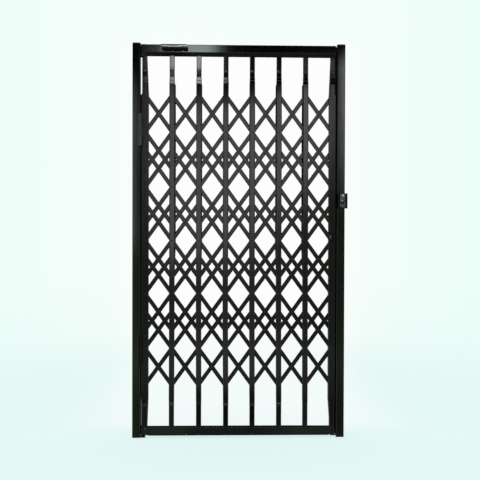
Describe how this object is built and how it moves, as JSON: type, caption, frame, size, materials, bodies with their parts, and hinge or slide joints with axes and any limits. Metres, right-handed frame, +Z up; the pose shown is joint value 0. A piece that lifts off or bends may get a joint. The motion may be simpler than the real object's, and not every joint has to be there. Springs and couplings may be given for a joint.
{
  "type": "accordion security gate",
  "caption": "Hinged accordion security gate for a doorway: riveted steel lattice and channel uprights in a leaf hung between two wall posts.",
  "frame": {"origin": "centre of the hinge post's foot, on the ground", "axes": "+X from the hinge post to the lock post along the closed leaf, -Y towards the front with the hinges and the lock, +Z up"},
  "size_m": [1.072, 0.073, 1.97],
  "materials": {
    "post_paint": "semi-gloss black paint",
    "rail_paint": "gloss black paint",
    "upright_paint": "semi-gloss black paint",
    "lattice_paint": "satin black paint",
    "hinge_paint": "semi-gloss black paint",
    "post_fittings": "satin black paint",
    "guide_plastic": "matte black plastic",
    "lock_enamel": "gloss black enamel",
    "lock_plate": "dark brushed steel",
    "cylinder_metal": "satin nickel",
    "bolt_enamel": "gloss black enamel"
  },
  "bodies": {
    "frame": {"hinge_post": "post_paint", "hinge_post_cap": "post_fittings", "hinge_post_foot": "post_fittings", "lock_post": "post_paint", "lock_post_cap": "post_fittings", "lock_post_foot": "post_fittings", "hinge_stop_strip": "post_paint", "head_stop_plate": "post_paint", "lock_stop_strip": "post_paint", "upper_hinge_post_knuckles": "hinge_paint", "lower_hinge_post_knuckles": "hinge_paint", "upper_hinge_pin": "hinge_paint", "lower_hinge_pin": "hinge_paint", "lock_case": "lock_enamel", "lock_face_plate": "lock_plate", "lock_cylinder": "cylinder_metal"},
    "leaf": {"bottom_end_block": "rail_paint", "bottom_track": "rail_paint", "guide_shoes": "guide_plastic", "header_end_block": "rail_paint", "header_rail": "rail_paint", "header_track": "rail_paint", "hinge_stile": "upright_paint", "lattice_tier_1": "lattice_paint", "lattice_tier_2": "lattice_paint", "lattice_tier_3": "lattice_paint", "lattice_tier_4": "lattice_paint", "lattice_tier_5": "lattice_paint", "lock_stile": "upright_paint", "lower_hinge_leaf_knuckle": "hinge_paint", "slide_bolt_guides": "bolt_enamel", "stile_key_cylinder": "cylinder_metal", "upper_hinge_leaf_knuckle": "hinge_paint", "upright_1": "upright_paint", "upright_2": "upright_paint", "upright_3": "upright_paint", "upright_4": "upright_paint", "upright_5": "upright_paint", "upright_6": "upright_paint", "upright_7": "upright_paint", "upright_8": "upright_paint"},
    "bolt": {"slide_bolt": "bolt_enamel"}
  },
  "joints": [
    {"name": "leaf_swing", "type": "hinge", "parent": "frame", "child": "leaf", "pos_m": [0.0185, -0.0365, 0], "axis": [0, 0, -1], "range_deg": [0, 170]},
    {"name": "slide_bolt_draw", "type": "slide", "parent": "leaf", "child": "bolt", "axis": [1, 0, 0], "range_m": [0, 0.03]}
  ]
}
